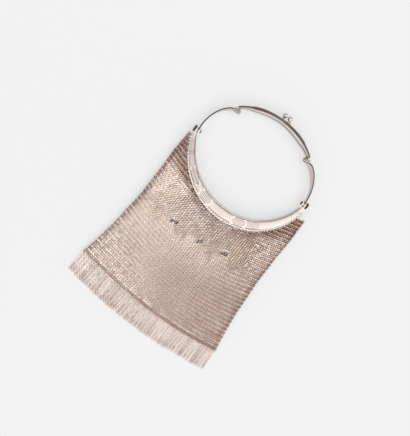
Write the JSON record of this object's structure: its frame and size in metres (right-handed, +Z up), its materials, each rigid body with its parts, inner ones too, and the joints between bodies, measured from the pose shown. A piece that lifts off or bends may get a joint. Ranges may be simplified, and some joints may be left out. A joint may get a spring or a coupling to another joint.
{
  "type": "metal mesh purse",
  "caption": "Flat mesh evening purse with a fringe, hung from a round hand-hole frame of engraved crescents, hinged arms and kiss-lock arcs.",
  "frame": {"origin": "on the surface the purse lies on, under the middle of its bounding box", "axes": "+Y towards the kiss lock, fringe towards -Y, +Z up out of the purse's front, +X along the hinge lines"},
  "size_m": [0.1564, 0.238, 0.01],
  "materials": {
    "frame_metal": "engraved, rosy nickel silver with tarnish in the lines",
    "arm_metal": "worn satin nickel silver",
    "pin_metal": "dark worn metal",
    "clasp_metal": "polished, slightly tarnished",
    "ring_mesh": "fine round rings, coppery in the folds",
    "fringe_links": "pale fine links"
  },
  "bodies": {
    "purse": {"crescent_front": "frame_metal", "crescent_back": "frame_metal", "lower_pin_left": "pin_metal", "lower_pin_right": "pin_metal", "mesh_bag": "ring_mesh", "fringe": "fringe_links"},
    "handle": {"arm_left": "arm_metal", "arm_right": "arm_metal"},
    "front_arc": {"arc_front": "arm_metal", "clasp_front": "clasp_metal"},
    "back_arc": {"arc_back": "arm_metal", "clasp_back": "clasp_metal"}
  },
  "joints": [
    {"name": "handle_fold", "type": "hinge", "parent": "purse", "child": "handle", "pos_m": [0.0085, 0.05825, 0.005], "axis": [1, 0, 0], "range_deg": [-115, 115]},
    {"name": "front_arc_open", "type": "hinge", "parent": "handle", "child": "front_arc", "pos_m": [0.0085, 0.09345, 0.005], "axis": [1, 0, 0], "range_deg": [0, 75]},
    {"name": "back_arc_open", "type": "hinge", "parent": "handle", "child": "back_arc", "pos_m": [0.0085, 0.09345, 0.005], "axis": [1, 0, 0], "range_deg": [-75, 0]}
  ]
}
